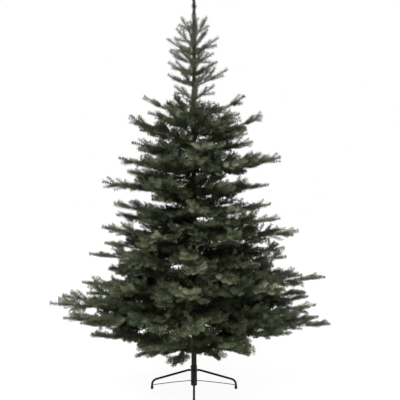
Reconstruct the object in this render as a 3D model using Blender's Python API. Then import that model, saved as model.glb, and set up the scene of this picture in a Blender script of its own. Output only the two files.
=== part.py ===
"""Artificial Christmas tree on a folding steel stand, 2.1 m tall.

Metres, +Z up. The origin is on the floor, under the axis of the pole. +X is to the tree's right as it is
seen from the front, and -Y points to the front.

The pole rises from the hub of the stand to the leader at the top. Short whorls of tips sit on its upper
part, and tiers of boughs hang from it below. The foliage of each whorl or tier is one to three masses.
"""

import math
import random
from collections import namedtuple

import bmesh
import bpy
from mathutils import Vector

# Clearances
GAP = 0.0003  # between pieces that touch
POLE_GAP = 0.0006  # between the pole and the foliage round it

# Pole: telescoping steel tubes, (height where the tube starts, its radius)
TREE_HEIGHT = 2.10
POLE_TUBES = ((0.0463, 0.0140), (1.015, 0.0125), (1.498, 0.0090))
POLE_SHOULDER = 0.004
LEADER_START = 1.925
LEADER_TIP_RADIUS = 0.0025
LEADER_COVER = 0.015  # foliage above the tip of the pole
POLE_SIDES = 20

# Stand
HUB_RADIUS = 0.0165
HUB_BORE = 0.0146
HUB_BOTTOM = 0.0200
HUB_TOP = 0.1260
HUB_EDGE = 0.0012
HUB_SIDES = 24
LEG_RADIUS = 0.0055
LEG_TOP = 0.1005
LEG_STUB = 0.0300  # where the leg starts to slope, measured from the pole's axis
LEG_REACH = 0.2248
LEG_KNEE_HEIGHT = 0.0460
LEG_KNEE_RADIUS = 0.0260
LEG_SIDES = 10
FOOT_RADIUS = 0.0073
FOOT_HEIGHT = 0.0150
FOOT_SOLE = 0.0030
FOOT_TAPER = 0.0006
FOOT_SIDES = 14
BRACE_RADIUS = 0.0020
BRACE_HEIGHTS = (0.0436, 0.0390)  # where the two wires cross in the hub: side to side, front to back
BRACE_END = 0.0218
BRACE_STRAIGHT = 0.0290
WIRE_SIDES = 8
SCREW_HEIGHT = 0.1120
SCREW_ANGLE = 120.0
SCREW_RADIUS = 0.0028
SCREW_HEAD = 0.0060
SCREW_REACH = 0.0150
SCREW_SIDES = 12

# Collar and boughs of the lowest tier
COLLAR_RADIUS = 0.0240
COLLAR_HEIGHT = 0.0160
BOUGH_RADIUS = 0.0034
BOUGH_TAPER = 0.80
LOW_CORE = 0.0850  # where the foliage of the lowest tier starts, measured from the pole's axis

# Foliage
NOTCH_REACH = 0.61  # of a bough's reach, half way to the next bough
FLANK_REACH = 0.76
FLANK_SHARE = 0.28  # of the angle between two boughs
RADIAL_SHARES = (0.0, 0.30, 0.66, 1.0)
DEPTH_SHARE = 0.46  # of the height between two tiers, above and below a bough
EDGE_THICKNESS = 0.011  # above and below the middle of the bough
TAPER_START = 0.60  # of a spoke
UNEVEN = 0.20
SECTOR_GAP = 1.2  # degrees, at each side of a mass
BOUGH_CURVE = 1.25
SWAY = 6.0  # degrees
LENGTHS = (0.84, 0.93)  # of boughs in front and behind, against those at the sides
FRONT_SAG = 0.035  # how much lower the boughs in front and behind are, against their reach
LOWEST_SKIRT = 0.150  # how far below the lowest tier another one would be
TOP_STEP = 0.055  # how far above the highest whorl another one would be
LEADER_OUTLINE = (  # (share of the leader's height, radius)
    (0.00, 0.0102),
    (0.10, 0.0108),
    (0.45, 0.0084),
    (0.75, 0.0092),
    (0.94, 0.0065),
    (1.00, 0.0021),
)
LEADER_SIDES = 12

# A tier has one bough to each side and others in front and behind. Reach and tip height are those of the
# boughs to the left and right, and the others lie between. turn is how far round the left and right boughs
# are from the X axis, in degrees.
Tier = namedtuple("Tier", "name root left left_tip right right_tip turn front back masses")
TIERS = (
    Tier("tier_1", 0.305, 0.716, 0.380, 0.738, 0.346, 0.0, 4, 3, 3),
    Tier("tier_2", 0.430, 0.759, 0.490, 0.670, 0.475, 14.0, 3, 3, 3),
    Tier("tier_3", 0.555, 0.614, 0.575, 0.708, 0.600, 0.0, 3, 3, 3),
    Tier("tier_4", 0.680, 0.569, 0.720, 0.500, 0.705, 0.0, 3, 2, 3),
    Tier("tier_5", 0.805, 0.504, 0.880, 0.574, 0.852, 0.0, 2, 3, 3),
    Tier("tier_6", 0.935, 0.440, 1.000, 0.420, 0.990, 0.0, 3, 2, 3),
    Tier("tier_7", 1.055, 0.500, 1.115, 0.410, 1.095, 0.0, 2, 3, 3),
    Tier("tier_8", 1.165, 0.413, 1.235, 0.472, 1.245, 0.0, 3, 2, 2),
    Tier("tier_9", 1.265, 0.338, 1.325, 0.320, 1.330, 0.0, 2, 2, 2),
    Tier("tier_10", 1.360, 0.354, 1.465, 0.373, 1.472, 0.0, 2, 1, 2),
    Tier("tier_11", 1.457, 0.276, 1.577, 0.279, 1.575, 0.0, 1, 2, 2),
    Tier("whorl_1", 1.550, 0.107, 1.627, 0.112, 1.630, 0.0, 1, 1, 1),
    Tier("whorl_2", 1.620, 0.141, 1.685, 0.182, 1.715, 0.0, 2, 1, 1),
    Tier("whorl_3", 1.680, 0.139, 1.750, 0.123, 1.753, 0.0, 1, 2, 1),
    Tier("whorl_4", 1.738, 0.134, 1.811, 0.105, 1.800, 0.0, 2, 1, 1),
    Tier("whorl_5", 1.790, 0.145, 1.878, 0.131, 1.885, 0.0, 1, 2, 1),
    Tier("whorl_6", 1.838, 0.097, 1.935, 0.075, 1.930, 0.0, 1, 1, 1),
    Tier("whorl_7", 1.881, 0.070, 1.998, 0.072, 1.998, 0.0, 1, 1, 1),
)

# Colours, linear, with roughness and metallic
PAINTED_BLACK = ("black_painted_steel", (0.022, 0.022, 0.021), 0.42, 0.6)
PAINTED_GREEN = ("green_painted_pole", (0.020, 0.026, 0.017), 0.50, 0.4)
RUBBER = ("foot_rubber", (0.012, 0.012, 0.012), 0.80, 0.0)
STEEL = ("dark_steel", (0.060, 0.060, 0.058), 0.38, 1.0)
BOUGH_WIRE = ("bough_wire", (0.035, 0.040, 0.026), 0.60, 0.3)
NEEDLES = ("needles", (0.035, 0.045, 0.026), 0.65, 0.0)

SIDES = {"right": 0.0, "back": 90.0, "left": 180.0, "front": 270.0}


def clear_scene():
    for obj in list(bpy.data.objects):
        bpy.data.objects.remove(obj)


def material(finish):
    name, colour, roughness, metallic = finish
    made = bpy.data.materials.get(name)
    if made is None:
        made = bpy.data.materials.new(name)
        made.use_nodes = True
        shader = made.node_tree.nodes["Principled BSDF"]
        shader.inputs["Base Color"].default_value = (*colour, 1.0)
        shader.inputs["Roughness"].default_value = roughness
        shader.inputs["Metallic"].default_value = metallic
        made.diffuse_color = (*colour, 1.0)
    return made


def polar(radius, angle, height):
    """A point at an angle in degrees round the pole's axis."""
    turn = math.radians(angle)
    return Vector((radius * math.cos(turn), radius * math.sin(turn), height))


def loft(name, sections, finish, ring=False, smooth=True):
    """A closed solid through sections, which are loops with equally many points. A ring joins its last
    section to its first, and any other solid is capped at both ends."""
    shape = bmesh.new()
    loops = [[shape.verts.new(point) for point in section] for section in sections]
    pairs = list(zip(loops, loops[1:]))
    if ring:
        pairs.append((loops[-1], loops[0]))
    for first, second in pairs:
        for i in range(len(first)):
            j = (i + 1) % len(first)
            shape.faces.new((first[i], first[j], second[j], second[i]))
    if not ring:
        shape.faces.new(loops[0])
        shape.faces.new(loops[-1])
    bmesh.ops.recalc_face_normals(shape, faces=shape.faces)
    mesh = bpy.data.meshes.new(name)
    shape.to_mesh(mesh)
    shape.free()
    if smooth:
        mesh.shade_smooth()
        mesh.set_sharp_from_angle(angle=math.radians(35.0))
    obj = bpy.data.objects.new(name, mesh)
    obj.data.materials.append(material(finish))
    bpy.context.scene.collection.objects.link(obj)
    return obj


def turned(name, profile, sides, finish, centre=(0.0, 0.0)):
    """A solid turned about a vertical axis from (radius, height) pairs, closed by a disc at each end."""
    middle = Vector((*centre, 0.0))
    steps = [360.0 * k / sides for k in range(sides)]
    sections = [[middle + polar(radius, angle, height) for angle in steps] for radius, height in profile]
    return loft(name, sections, finish)


def sleeve(name, wall, sides, finish):
    """A wall of (radius, height) pairs turned about the pole's axis, with a hole right through."""
    steps = [360.0 * k / sides for k in range(sides)]
    return loft(name, [[polar(r, angle, z) for r, z in wall] for angle in steps], finish, ring=True)


def tube(name, points, radii, sides, finish):
    """A round limb along points that lie in one vertical plane through the pole's axis."""
    across = Vector((0.0, 0.0, 1.0)).cross(points[-1] - points[0]).normalized()
    sections = []
    for k, (point, radius) in enumerate(zip(points, radii)):
        ahead = (points[min(k + 1, len(points) - 1)] - points[max(k - 1, 0)]).normalized()
        upward = ahead.cross(across)
        turns = [math.tau * (i + 0.5) / sides for i in range(sides)]
        sections.append([point + radius * (math.cos(t) * across + math.sin(t) * upward) for t in turns])
    return loft(name, sections, finish)


def cut(obj, cutter):
    """Takes cutter out of obj. The cutter stays as a hidden helper."""
    cutter.hide_render = True
    cutter.display_type = "WIRE"
    hole = obj.modifiers.new("cut_" + cutter.name, "BOOLEAN")
    hole.operation = "DIFFERENCE"
    hole.object = cutter


def pole_radius(height):
    return [radius for start, radius in POLE_TUBES if start <= height][-1]


# ---------------------------------------------------------------- pole and stand


def make_pole():
    profile = []
    for k, (start, radius) in enumerate(POLE_TUBES):
        if k:
            profile.append((POLE_TUBES[k - 1][1], start - POLE_SHOULDER))
        profile.append((radius, start))
    profile.append((POLE_TUBES[-1][1], LEADER_START))
    profile.append((LEADER_TIP_RADIUS, TREE_HEIGHT - LEADER_COVER))
    turned("pole", profile, POLE_SIDES, PAINTED_GREEN)


def make_hub():
    wall = (
        (HUB_BORE, HUB_BOTTOM),
        (HUB_RADIUS - HUB_EDGE, HUB_BOTTOM),
        (HUB_RADIUS, HUB_BOTTOM + HUB_EDGE),
        (HUB_RADIUS, HUB_TOP - HUB_EDGE),
        (HUB_RADIUS - HUB_EDGE, HUB_TOP),
        (HUB_BORE, HUB_TOP),
    )
    hub = sleeve("stand_hub", wall, HUB_SIDES, PAINTED_BLACK)
    for angle, height in zip((0.0, 90.0), BRACE_HEIGHTS):
        ends = [polar(r, angle, height) for r in (-2 * HUB_RADIUS, 2 * HUB_RADIUS)]
        cut(hub, tube(f"brace_hole_{angle:.0f}", ends, [BRACE_RADIUS + GAP] * 2, WIRE_SIDES, PAINTED_BLACK))
    ends = [polar(r, SCREW_ANGLE, SCREW_HEIGHT) for r in (HUB_BORE / 2, 2 * HUB_RADIUS)]
    cut(hub, tube("screw_hole", ends, [SCREW_RADIUS + GAP] * 2, SCREW_SIDES, PAINTED_BLACK))


def make_screw():
    """The thumbscrew that clamps the pole in the hub."""
    pole_side = POLE_TUBES[0][1] + GAP
    outline = (
        (pole_side, SCREW_RADIUS),
        (HUB_RADIUS + 2 * GAP, SCREW_RADIUS),
        (HUB_RADIUS + 3 * GAP, SCREW_HEAD),
        (HUB_RADIUS + SCREW_REACH, SCREW_HEAD),
    )
    points = [polar(reach, SCREW_ANGLE, SCREW_HEIGHT) for reach, _ in outline]
    tube("stand_screw", points, [radius for _, radius in outline], SCREW_SIDES, STEEL)


def leg_path(angle):
    """Out of the hub, down the slope, round the knee and straight down into the foot."""
    start = polar(HUB_RADIUS + GAP, angle, LEG_TOP)
    stub = polar(LEG_STUB, angle, LEG_TOP)
    knee = polar(LEG_REACH, angle, LEG_KNEE_HEIGHT)
    end = polar(LEG_REACH, angle, FOOT_SOLE + GAP)
    slope = (stub - knee).normalized()
    bend = [
        knee + LEG_KNEE_RADIUS * ((1 - t) ** 2 * slope + t**2 * Vector((0.0, 0.0, -1.0)))
        for t in (0.0, 0.25, 0.5, 0.75, 1.0)
    ]
    return [start, stub, *bend, end]


def make_leg(side, angle):
    path = leg_path(angle)
    tube(f"stand_leg_{side}", path, [LEG_RADIUS] * len(path), LEG_SIDES, PAINTED_BLACK)


def make_foot(side, angle):
    """The rubber cap that the end of a leg stands in."""
    bore = LEG_RADIUS + GAP
    top = FOOT_RADIUS - FOOT_TAPER
    wall = ((bore, FOOT_SOLE), (bore, FOOT_HEIGHT), (top, FOOT_HEIGHT), (FOOT_RADIUS, 0.0))
    turned(f"stand_foot_{side}", wall, FOOT_SIDES, RUBBER, centre=polar(LEG_REACH, angle, 0.0).xy)


def make_brace(name, angle, height):
    """A wire from leg to leg through the hub."""
    end = LEG_REACH - LEG_RADIUS - 2 * GAP
    across = ((-end, BRACE_END), (-BRACE_STRAIGHT, height), (BRACE_STRAIGHT, height), (end, BRACE_END))
    tube(name, [polar(r, angle, z) for r, z in across], [BRACE_RADIUS] * 4, WIRE_SIDES, PAINTED_BLACK)


def make_stand():
    make_hub()
    make_screw()
    for side, angle in SIDES.items():
        make_leg(side, angle)
        make_foot(side, angle)
    make_brace("stand_brace_across", 0.0, BRACE_HEIGHTS[0])
    make_brace("stand_brace_along", 90.0, BRACE_HEIGHTS[1])


# ---------------------------------------------------------------- boughs and foliage


def tier_reach(tier, angle):
    share = (1.0 + math.cos(math.radians(angle))) / 2.0
    return tier.left + (tier.right - tier.left) * share


def bough_height(tier, radius, angle):
    """The height of the tier's boughs at a distance from the pole."""
    share = (1.0 + math.cos(math.radians(angle))) / 2.0
    reach = tier_reach(tier, angle)
    rise = tier.left_tip + (tier.right_tip - tier.left_tip) * share - tier.root
    sag = FRONT_SAG * reach * math.sin(math.radians(angle)) ** 2
    return tier.root + (rise - sag) * (radius / reach) ** BOUGH_CURVE


def tier_boughs(tier):
    """(angle, reach) of each bough, going round from the right-hand one."""
    draw = random.Random(tier.name)
    behind = [180.0 * (k + 1) / (tier.back + 1) for k in range(tier.back)]
    before = [180.0 + 180.0 * (k + 1) / (tier.front + 1) for k in range(tier.front)]
    boughs = []
    for angle in (0.0, *behind, 180.0, *before):
        to_the_side = angle in (0.0, 180.0)
        sway = tier.turn if to_the_side else draw.uniform(-SWAY, SWAY)
        length = 1.0 if to_the_side else draw.uniform(*LENGTHS)
        boughs.append((angle + sway, tier_reach(tier, angle) * length))
    return boughs


def groups(items, count):
    """items in order, in count groups of nearly equal size."""
    cuts = [round(len(items) * k / count) for k in range(count + 1)]
    return [items[a:b] for a, b in zip(cuts, cuts[1:])]


def spokes(boughs, before, after, whole):
    """(angle, reach) round a mass: each bough's tip, a flank at each side of it, and the notches between.
    before and after are the angles of the neighbours' boughs."""
    angles = [before, *(angle for angle, _ in boughs), after]
    found = []
    for k, (angle, reach) in enumerate(boughs, 1):
        left, right = angle - angles[k - 1], angles[k + 1] - angle
        start = SECTOR_GAP if k == 1 and not whole else 0.0
        found.append((angle - left / 2 + start, NOTCH_REACH * reach))
        found.append((angle - left * FLANK_SHARE, FLANK_REACH * reach))
        found.append((angle, reach))
        found.append((angle + right * FLANK_SHARE, FLANK_REACH * reach))
    if not whole:
        found.append((angle + right / 2 - SECTOR_GAP, NOTCH_REACH * boughs[-1][1]))
    return found


def make_mass(name, tier, neighbours, core, around, whole):
    """A closed, uneven mass of needles round several boughs. neighbours are the tiers below and above, and
    around is the mass's spokes."""
    draw = random.Random(name)
    sections = []
    for angle, reach in around:
        lower, upper = [], []
        for share in RADIAL_SHARES:
            radius = core + (reach - core) * share
            middle = bough_height(tier, radius, angle)
            edge = max(0.0, (share - TAPER_START) / (1.0 - TAPER_START))
            thin = draw.uniform(1.0 - UNEVEN, 1.0)
            depths = []
            for other in neighbours:
                room = DEPTH_SHARE * abs(bough_height(other, radius, angle) - middle)
                depths.append(min(room, room * thin * (1.0 - edge) + EDGE_THICKNESS * edge))
            lower.append(polar(radius, angle, middle - depths[0]))
            upper.append(polar(radius, angle, middle + depths[1]))
        sections.append([*lower, *reversed(upper)])
    loft(name, sections, NEEDLES, ring=whole, smooth=False)


def make_tier(tier, neighbours):
    """The masses of a tier or whorl."""
    boughs = tier_boughs(tier)
    lowest = tier.root - DEPTH_SHARE * (tier.root - neighbours[0].root)
    core = LOW_CORE if tier is TIERS[0] else pole_radius(lowest) + POLE_GAP
    if tier.masses == 1:
        around = spokes(boughs, boughs[-1][0] - 360.0, boughs[0][0] + 360.0, True)
        make_mass(f"{tier.name}_foliage", tier, neighbours, core, around, True)
        return
    parts = groups(boughs, tier.masses)
    for k, part in enumerate(parts):
        before = parts[k - 1][-1][0] - (360.0 if k == 0 else 0.0)
        last = k == len(parts) - 1
        after = parts[(k + 1) % len(parts)][0][0] + (360.0 if last else 0.0)
        around = spokes(part, before, after, False)
        make_mass(f"{tier.name}_foliage_{k + 1}", tier, neighbours, core, around, False)


def make_low_boughs():
    """The boughs of the lowest tier, which show between the pole and their foliage, and their collar."""
    tier = TIERS[0]
    inner = POLE_TUBES[0][1] + GAP
    half = COLLAR_HEIGHT / 2
    wall = (
        (inner, tier.root - half),
        (COLLAR_RADIUS, tier.root - half),
        (COLLAR_RADIUS, tier.root + half),
        (inner, tier.root + half),
    )
    sleeve("bough_collar", wall, HUB_SIDES, PAINTED_BLACK)
    for k, (angle, _) in enumerate(tier_boughs(tier), 1):
        ends = [polar(r, angle, tier.root) for r in (COLLAR_RADIUS + GAP, LOW_CORE - GAP)]
        tube(f"tier_1_bough_{k}", ends, (BOUGH_RADIUS, BOUGH_RADIUS * BOUGH_TAPER), WIRE_SIDES, BOUGH_WIRE)


def make_leader():
    """The needles round the pole's tip."""
    bore = (
        (LEADER_TIP_RADIUS + POLE_GAP, TREE_HEIGHT - LEADER_COVER + POLE_GAP),
        (POLE_TUBES[-1][1] + POLE_GAP, LEADER_START),
    )
    height = TREE_HEIGHT - LEADER_START
    outline = [(radius, LEADER_START + height * share) for share, radius in LEADER_OUTLINE]
    turned("leader_foliage", [*bore, *outline], LEADER_SIDES, NEEDLES)


def shifted(tier, rise):
    return tier._replace(
        root=tier.root + rise, left_tip=tier.left_tip + rise, right_tip=tier.right_tip + rise
    )


def make_foliage():
    below = (shifted(TIERS[0], -LOWEST_SKIRT), *TIERS[:-1])
    above = (*TIERS[1:], shifted(TIERS[-1], TOP_STEP))
    for tier, *neighbours in zip(TIERS, below, above):
        make_tier(tier, neighbours)
    make_leader()


clear_scene()
make_pole()
make_stand()
make_low_boughs()
make_foliage()
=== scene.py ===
"""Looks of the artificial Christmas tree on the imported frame: its needled boughs, its pole and its stand.

Metres, +Z up, angles in degrees. Boughs grow by one seeded branching rule: they carry pairs of sprays, and a
spray is a straight shoot with pairs of shorter ones. Needles are folded kites in rings round all of them, and
each spray of needles is dealt one plain colour.
"""
import math
import random
from collections import namedtuple

import bpy
import numpy as np
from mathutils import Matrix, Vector, noise


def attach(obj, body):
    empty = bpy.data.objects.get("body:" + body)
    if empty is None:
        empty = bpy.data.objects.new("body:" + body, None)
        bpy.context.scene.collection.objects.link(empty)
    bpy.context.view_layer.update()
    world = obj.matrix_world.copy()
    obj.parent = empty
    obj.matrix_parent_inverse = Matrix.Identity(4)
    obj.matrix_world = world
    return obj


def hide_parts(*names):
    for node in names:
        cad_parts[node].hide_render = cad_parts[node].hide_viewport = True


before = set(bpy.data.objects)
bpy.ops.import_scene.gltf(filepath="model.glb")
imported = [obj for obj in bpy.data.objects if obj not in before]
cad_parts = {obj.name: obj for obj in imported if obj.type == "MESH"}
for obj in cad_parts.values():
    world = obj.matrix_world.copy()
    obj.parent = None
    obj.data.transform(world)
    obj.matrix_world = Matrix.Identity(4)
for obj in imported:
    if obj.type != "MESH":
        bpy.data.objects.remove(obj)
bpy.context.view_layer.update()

# Camera, level with the middle of the tree, and lights
CAMERA_DISTANCE = 3.2
CAMERA_HEIGHT = 1.012
CAMERA_LENS = 53.7  # millimetres
CAMERA_SENSOR = 36.0
CAMERA_SHIFT = 0.015
WORLD_STRENGTH = 1.0
SUNS = (  # (name, energy, softness, azimuth, elevation)
    ("key", 9.4, 30.0, 238.0, 60.0),
    ("fill", 2.5, 50.0, 305.0, 42.0),
    ("back", 3.0, 45.0, 80.0, 38.0),
)
FLOOR_SIZE = 60.0
FLOOR_COLOUR = (0.03, 0.03, 0.03)
FLOOR_GLOW = 0.94
FLOOR_ROUGHNESS = 0.9

# Tiers of boughs, as in the CAD part. The boughs at the left and right have the reach and tip height given
# here, and turn is how far round from the X axis they are.
Tier = namedtuple("Tier", "name root left left_tip right right_tip turn front back")
TIERS = (
    Tier("tier_1", 0.305, 0.716, 0.38, 0.738, 0.346, 0, 4, 3),
    Tier("tier_2", 0.43, 0.759, 0.49, 0.67, 0.475, 14, 3, 3),
    Tier("tier_3", 0.555, 0.614, 0.575, 0.708, 0.6, 0, 3, 3),
    Tier("tier_4", 0.68, 0.569, 0.72, 0.5, 0.705, 0, 3, 2),
    Tier("tier_5", 0.805, 0.504, 0.88, 0.574, 0.852, 0, 2, 3),
    Tier("tier_6", 0.935, 0.44, 1.0, 0.42, 0.99, 0, 3, 2),
    Tier("tier_7", 1.055, 0.5, 1.115, 0.41, 1.095, 0, 2, 3),
    Tier("tier_8", 1.165, 0.413, 1.235, 0.472, 1.245, 0, 3, 2),
    Tier("tier_9", 1.265, 0.338, 1.325, 0.32, 1.33, 0, 2, 2),
    Tier("tier_10", 1.36, 0.354, 1.465, 0.373, 1.472, 0, 2, 1),
    Tier("tier_11", 1.457, 0.276, 1.577, 0.279, 1.575, 0, 1, 2),
    Tier("whorl_1", 1.55, 0.107, 1.627, 0.112, 1.63, 0, 1, 1),
    Tier("whorl_2", 1.62, 0.141, 1.685, 0.182, 1.715, 0, 2, 1),
    Tier("whorl_3", 1.68, 0.139, 1.75, 0.123, 1.753, 0, 1, 2),
    Tier("whorl_4", 1.738, 0.134, 1.811, 0.105, 1.8, 0, 2, 1),
    Tier("whorl_5", 1.79, 0.145, 1.878, 0.131, 1.885, 0, 1, 2),
    Tier("whorl_6", 1.838, 0.097, 1.935, 0.075, 1.93, 0, 1, 1),
    Tier("whorl_7", 1.881, 0.07, 1.998, 0.072, 1.998, 0, 1, 1),
)
# Boughs between the tiers, at the left and right: (angle, root height, reach, tip height)
SIDE_BOUGHS = (
    (186, 1.52, 0.18, 1.578),
    (172, 1.345, 0.344, 1.43),
    (188, 1.42, 0.252, 1.478),
    (170, 1.24, 0.312, 1.296),
    (187, 1.11, 0.362, 1.17),
    (172, 0.88, 0.438, 0.932),
    (190, 0.79, 0.408, 0.856),
    (174, 0.735, 0.488, 0.788),
    (188, 0.61, 0.455, 0.655),
    (171, 0.59, 0.496, 0.62),
    (176, 0.45, 0.722, 0.498),
    (188, 0.33, 0.602, 0.374),
    (6, 1.52, 0.21, 1.57),
    (-8, 1.31, 0.286, 1.393),
    (9, 1.42, 0.255, 1.484),
    (-7, 1.2, 0.369, 1.264),
    (-9, 0.865, 0.47, 0.915),
    (8, 0.72, 0.5, 0.76),
    (-6, 0.575, 0.576, 0.612),
    (-5, 0.47, 0.612, 0.513),
    (-6, 0.4, 0.655, 0.47),
    (7, 0.33, 0.7, 0.368),
)
LOW_BOUGHS = (  # in front, below the first tier
    (239, 0.296, 0.48, 0.281),
    (257, 0.294, 0.5, 0.262),
    (285, 0.294, 0.48, 0.276),
    (302, 0.298, 0.48, 0.294),
)

# Lines of the boughs
CORE = 0.012  # radius where the needles of a bough start
LOW_CORE = 0.085
SWAY = 6.0  # most turn of a bough from its even place
LENGTHS = (0.84, 0.93)  # in front and behind, as a share of that at the sides
TIER_SPREAD = 0.026  # of the height of their tips
FRONT_SAG = 0.035  # by how much of their reach they hang lower
TO_THE_SIDE = 0.94  # least cosine of the angle of a bough at the side
SIDE_SPREAD = 0.006  # of the height of its tip
TIP_SHIFTS = (0.98, 1.0)
BOUGH_CURVES = (1.2, 2.4)  # power of the radius with which it rises
BOUGH_SAGS = (0.0, 0.055)  # by how much of its reach it first hangs down
BOUGH_BENDS = (0.004, 0.012)
BOUGH_WAVE = 9.0  # radians of its sway to a metre
BOUGH_EASE = 0.2  # length over which its arch sets in
LOWEST_TIPS = (0.414, 0.08, 0.012)  # their height, less in front, more at the right
LOWEST_ARCH = (0.065, 0.015)  # rise from the pole, at the sides and elsewhere
LOWEST_SHARE = 0.97
LOWEST_TIP_SPREAD = 0.012

# Short boughs half way between two tiers
FILLER_REACH = 0.7
FILLER_REACHES = (0.8, 1.1)
FILLER_ROOTS = 0.02
FILLER_RISES = (-0.01, 0.03)
FILLER_COUNTS = (6, 5)  # below and above OPEN_ABOVE
OPEN_ABOVE = 1.0  # where the sky shows through the crown

# Dark sprays that stand out from the pole: they take the darkest tones, painted shade deep in the crown
HEARTS_PER_METRE = (52.0, 34.0)
FEWEST_HEARTS = 4
HEART_START = 0.014
HEART_LENGTH = 0.17
HEART_SHARE = 0.5  # of the tier's reach, where that is shorter
HEART_LENGTHS = (0.8, 1.1)
HEART_RISE = (-28.0, 50.0)
# A long reach for the colours puts the hearts deep, so that they take painted shade.
HEART_DEPTH = 2.2  # reach for its colours, in its own lengths
HEART_TURN = (137.5, 15.0)

# Branching rule: sprays stand in pairs round a bough or an arm, with a fork and a spacing for its tip and for
# its inner part, from SETTLES back
SETTLES = 0.3
SPRAYED_TO = 0.42  # from the tip of its stem
STEM_BARE = 0.03
ARM_BARE = 0.08
SPRAY_FIRST = 0.095
FIRST_SPREAD = (0.9, 1.2)
SPRAY_SPACING = (0.074, 0.115)
SPACING_SPREAD = (0.9, 1.15)
SPRAY_SHIFT = 0.012
SPRAY_GROWTH = (0.03, 0.42)  # its length, and more for the stem beyond its foot
SPRAY_LENGTHS = (0.85, 1.15)
LONGEST_SPRAY = 0.19
TIP_SPRAY_SHARE = 0.8  # most of its stem
TIP_SPRAY_LENGTHS = (0.8, 1.0)
FULL_REACH = 0.55  # boughs shorter than this have smaller sprays
LEAST_SIZE = 0.4  # of the sprays of a bough with no reach
SPRAY_FORK = (24.0, 44.0)
FORK_SPREAD = 6.0
SPRAY_TURNS = ((6.0, 174.0), (50.0, 130.0), (-28.0, 208.0))  # 90 is above the stem
LOWEST_TURNS = ((8.0, 172.0), (44.0, 136.0))
TURN_SPREAD = 16.0
PLANE_SPREAD = 38.0
LOWEST_SPREAD = 20.0
SPRAY_BEND = (-3.0, 8.0)
PAIR_FIRST = 0.028
PAIR_FIRST_SPREAD = (0.6, 1.3)
PAIR_SPACING = 0.053
PAIR_SPREAD = (0.85, 1.2)
PAIR_SHIFT = 0.007
PAIR_LAST = 0.042  # from the tip of the spray
SHOOT_GROWTH = (0.03, 0.42)  # its length, and more for the spray beyond its foot
SHOOT_LENGTHS = (0.85, 1.12)
LONGEST_SHOOT = 0.085
SHOOT_FORK = (31.0, 45.0)
SHOOT_ROLL = (-8.0, 30.0)
SHOOT_BEND = (0.0, 10.0)
SPRAY_RADII = (0.0015, 0.0008)
SHOOT_RADII = (0.0011, 0.0007)

# A bough and its two arms
BOUGH_STEP = 0.05
FEWEST_STEPS = (4, 3)
BOUGH_GIRTH = (0.0016, 0.0026)
ARMED_FROM = 0.3
ARM_SHARES = (0.22, 0.38)  # of the bough, where they fork off
ARM_SHIFT = 0.04
ARM_TURNS = (-6.0, 20.0)  # round the bough, for the arm on its right
ARM_FORKS = (22.0, 34.0)
ARM_LENGTHS = (0.6, 0.74)
ARM_BEND = (4, 12)
ARM_STEP = 0.06
ARM_GIRTH = (0.0012, 0.0026)
TIP_RADIUS = 0.0009
TIP_CLEARANCE = 0.009  # from the end of a bough's stem to its mass's tip
RING_ROOM = 1.5 * math.pi  # for a spray, of the radius, shared by the ring
FREE_ROOM = 0.5  # the same for a bough on its own
LEAST_ROOM = 0.05

# Whorls of thin boughs at the top, and needles on the pole itself
WHORL_CORE = 0.006
WHORL_CLEARANCE = 0.006
WHORL_STEPS = 4
WHORL_NEEDLE = (0.02, 0.0023, 1.25)  # length, width, density
WHORL_RADII = (0.0028, 0.0018)
WHORL_FORK = (20.0, 31.0)
WHORL_FIRST = (0.2, 0.28)  # of the bough, where its first shoot is
WHORL_SPACING = (0.14, 0.22)
WHORL_LAST = 0.55
WHORL_GROWTH = (0.62, 0.4)  # share of the bough, and less further out
WHORL_LENGTHS = (0.85, 1.1)
WHORL_TURN = (140.0, 220.0)
WHORL_BEND = (4, 10)
WHORL_SHOOT_RADII = (0.0022, 0.0016)
DRESSED_FROM = 1.5
POLE_NEEDLE = (0.01, 0.0024, 2.4)
POLE_OFFSET = 0.0085
POLE_SWEEP = 30.0
LEADER_START = 1.925
LEADER_TIP = 2.085
LEADER_BEAD = 0.052
LEADER_STEP = 0.006
LEADER_CORE = (0.0066, 0.0016)
LEADER_RADII = (0.012, 0.0165)  # in a neck and in a bead
LEADER_SWEEP = 58.0
LEADER_NEEDLE = (0.0032, 3.0)

# Needles
NEEDLE_COUNT = 425000
NEEDLE_KINDS = (  # (length, width, density), from the ends of the boughs inwards
    (0.017, 0.0026, 0.89),
    (0.0185, 0.0038, 0.68),
    (0.0265, 0.006, 0.32),
)
KIND_DEPTHS = (0.24, 0.44)
NEEDLE_OFFSET = 0.0009
NEEDLE_SWEEP = 58.0
SWEEP_SPREAD = 9.0
NEEDLE_ROLL = 45.0
NEEDLE_WIDEST = 0.52  # share of its length where it is widest
NEEDLE_FOLD = 0.5  # of half its width
NEEDLE_LENGTHS = (0.6, 1.28)
NEEDLE_LIFT = 0.1  # how far needles are bent up
UNDER_SHARE = 0.18
NEEDLE_STEP = 0.0115  # from ring to ring
RING_SPREAD = 0.1
GOLDEN_TURN = 2.39996  # radians, from needle to needle
AROUND_SPREAD = 0.35
CLOSING_LENGTH = 0.01  # of a shoot's end, where needles lean forward
CLOSED_SWEEP = 0.62
MOST_TRIANGLES = 190000  # in one piece
UP = Vector((0.0, 0.0, 1.0))
STEEP = 0.05  # level part of a way that counts as upright

# Plain colours of the sprays. Shade and deep are painted shade for the inside of the crown; olive and pale
# are partly the needles' lighter tips and partly painted light on its outside.
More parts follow.
